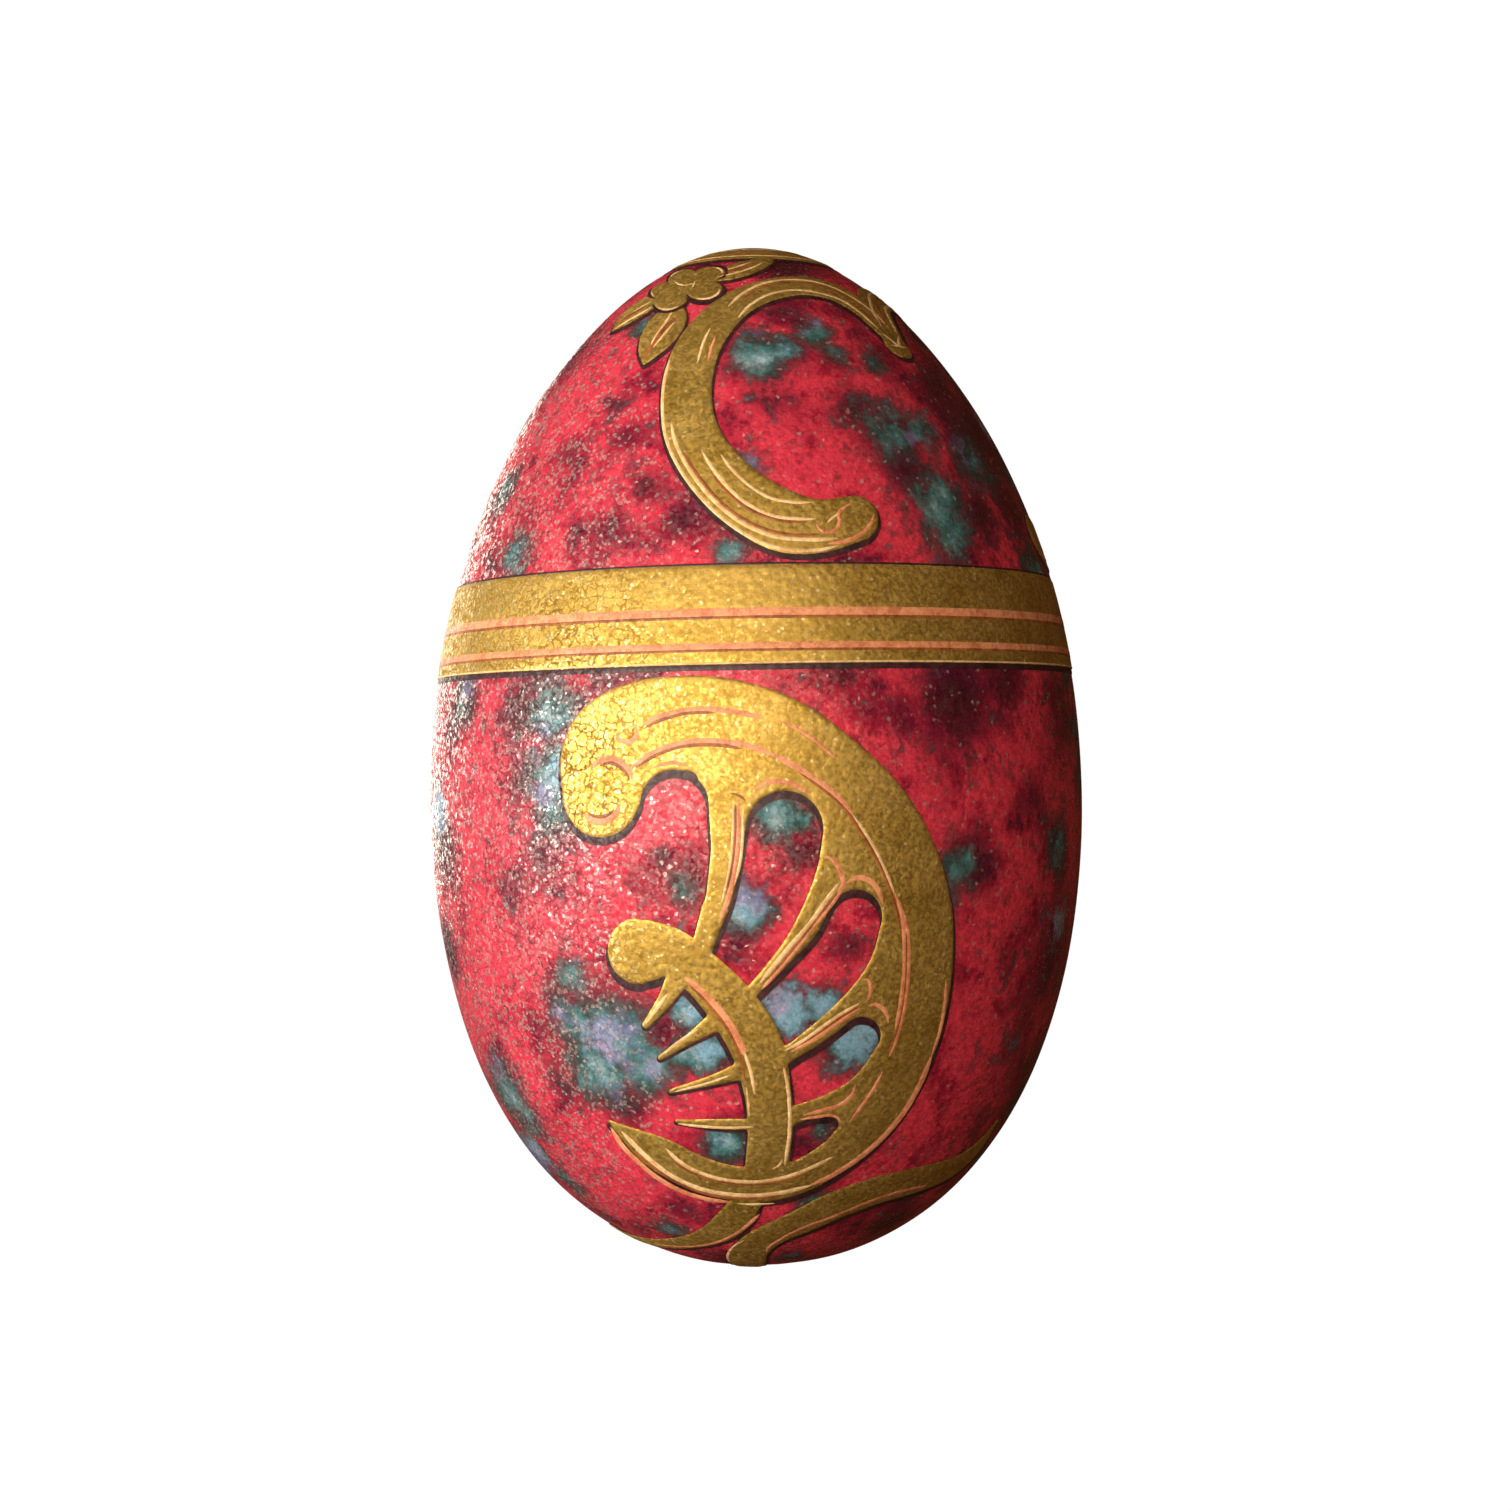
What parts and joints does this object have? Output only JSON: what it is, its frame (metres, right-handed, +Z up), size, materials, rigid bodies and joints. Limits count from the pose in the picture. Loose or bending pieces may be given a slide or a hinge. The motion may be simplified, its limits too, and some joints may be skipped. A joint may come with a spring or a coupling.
{
  "type": "decorated egg in printed film sleeve",
  "caption": "Blown goose egg in a printed shrink-film sleeve, crimson marbled ground with gold scrolls and a girdle band, blow holes sealed with wax.",
  "frame": {"origin": "lowest point of the blunt end, on the egg's axis", "axes": "+Z up the egg's axis towards the pointed end, -Y out through the middle of the large scroll"},
  "size_m": [0.0564, 0.0564, 0.088],
  "materials": {
    "printed_film": "glossy shrink film printed in marbled crimson, maroon and teal",
    "gold_print": "metallic gold ink under gloss, finely crazed over the pebbled shell",
    "coral_line": "coral and cream accent lines printed on the gold",
    "shadow_line": "brown-black printed outlines and cast shadows",
    "eggshell": "matt off-white goose shell, finely pebbled",
    "membrane": "dried parchment-like membrane",
    "sealing_wax": "wiped beeswax, satin"
  },
  "bodies": {
    "root": {"printed_sleeve": "printed_film", "eggshell": "eggshell", "outer_membrane": "membrane", "inner_membrane": "membrane", "top_hole_seal": "sealing_wax", "bottom_hole_seal": "sealing_wax"}
  },
  "joints": []
}
